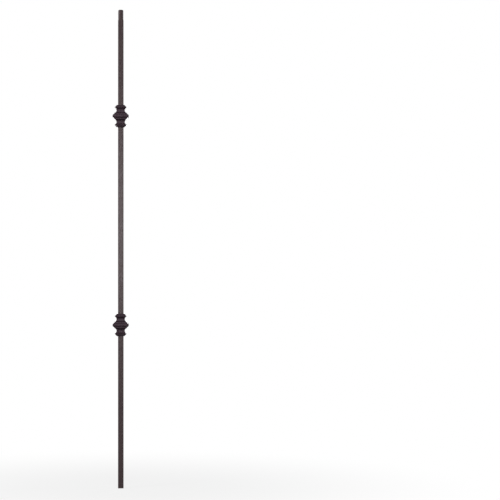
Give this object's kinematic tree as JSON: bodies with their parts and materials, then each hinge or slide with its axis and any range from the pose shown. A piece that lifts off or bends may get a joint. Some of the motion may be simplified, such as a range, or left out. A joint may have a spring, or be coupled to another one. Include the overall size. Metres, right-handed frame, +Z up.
{
  "type": "stair baluster",
  "caption": "Square steel stair baluster with a turned pin at its top end and square moulded knuckles that slide over the bar and are held by set screws.",
  "frame": {"origin": "middle of the foot, where the square bar's lower end is cut", "axes": "+Z up along the bar to the pin's tip; X and Y square to the bar's faces, with the set screws on the -X side"},
  "size_m": [0.0378, 0.0378, 1.1176],
  "materials": {
    "bar_coat": "satin dark bronze powder coat, faintly mottled",
    "knuckle_coat": "satin dark bronze powder coat over a casting, with small pits",
    "screw_steel": "black oxide, satin"
  },
  "bodies": {
    "root": {"bar": "bar_coat", "lower_knuckle": "knuckle_coat", "upper_knuckle": "knuckle_coat", "lower_set_screw": "screw_steel", "upper_set_screw": "screw_steel"}
  },
  "joints": []
}
